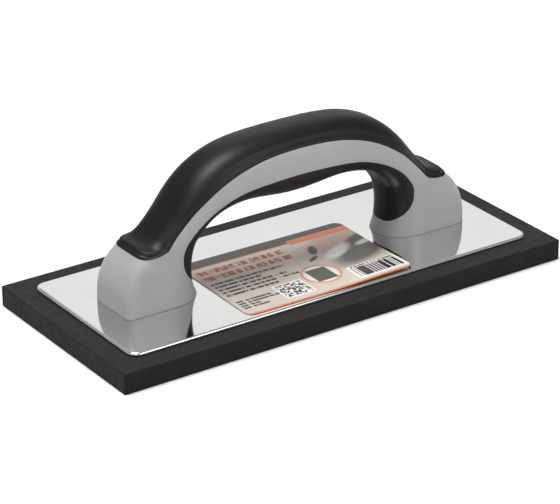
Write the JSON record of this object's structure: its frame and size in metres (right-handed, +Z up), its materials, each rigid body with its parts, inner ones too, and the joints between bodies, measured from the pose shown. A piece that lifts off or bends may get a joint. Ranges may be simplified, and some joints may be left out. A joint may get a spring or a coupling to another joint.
{
  "type": "hand float",
  "caption": "Rubber-faced hand float for grout and render: flat pad bonded to a polished backing plate, with an arched two-material handle.",
  "frame": {"origin": "centre of the pad's sole, on the surface that the float rests on", "axes": "+X along the float's length, +Y across its width, +Z up out of the plate towards the handle's crest"},
  "size_m": [0.2286, 0.1016, 0.076],
  "materials": {
    "pad_rubber": "matte, fine-grained charcoal rubber",
    "adhesive": "contact adhesive film",
    "polished_plate": "polished",
    "label_paper": "printed film label, semi-gloss",
    "grey_plastic": "satin moulded",
    "grip_rubber": "satin soft-touch",
    "zinc_steel": "zinc plated"
  },
  "bodies": {
    "root": {"float_pad": "pad_rubber", "bond_layer": "adhesive", "backing_plate": "polished_plate", "label": "label_paper", "handle_core": "grey_plastic", "palm_grip": "grip_rubber", "finger_grip": "grip_rubber", "handle_screw_1": "zinc_steel", "handle_screw_2": "zinc_steel", "handle_screw_3": "zinc_steel", "handle_screw_4": "zinc_steel"}
  },
  "joints": []
}
